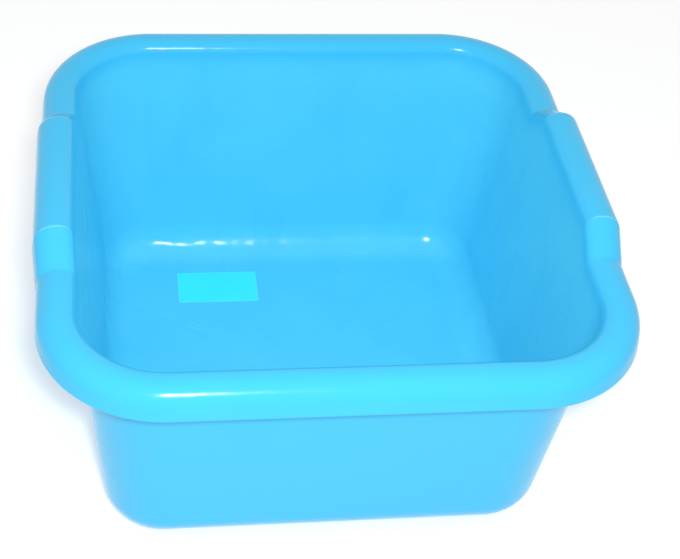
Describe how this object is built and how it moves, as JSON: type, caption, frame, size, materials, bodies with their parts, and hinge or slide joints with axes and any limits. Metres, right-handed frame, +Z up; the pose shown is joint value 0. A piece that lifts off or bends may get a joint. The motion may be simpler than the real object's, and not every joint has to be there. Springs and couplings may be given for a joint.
{
  "type": "washing up bowl",
  "caption": "Square moulded washing up bowl with leaning walls, rounded corners, a turned-over rim and a raised grip on each side.",
  "frame": {"origin": "on the ground under the middle of the bowl", "axes": "+X to the right grip, +Y to the back, +Z up"},
  "size_m": [0.323, 0.32, 0.1755],
  "materials": {
    "bowl_plastic": "smooth moulded polypropylene, semi-gloss, sky blue",
    "label_film": "thin satin label film, pale cyan, blank"
  },
  "bodies": {
    "root": {"bowl": "bowl_plastic", "label": "label_film"}
  },
  "joints": []
}
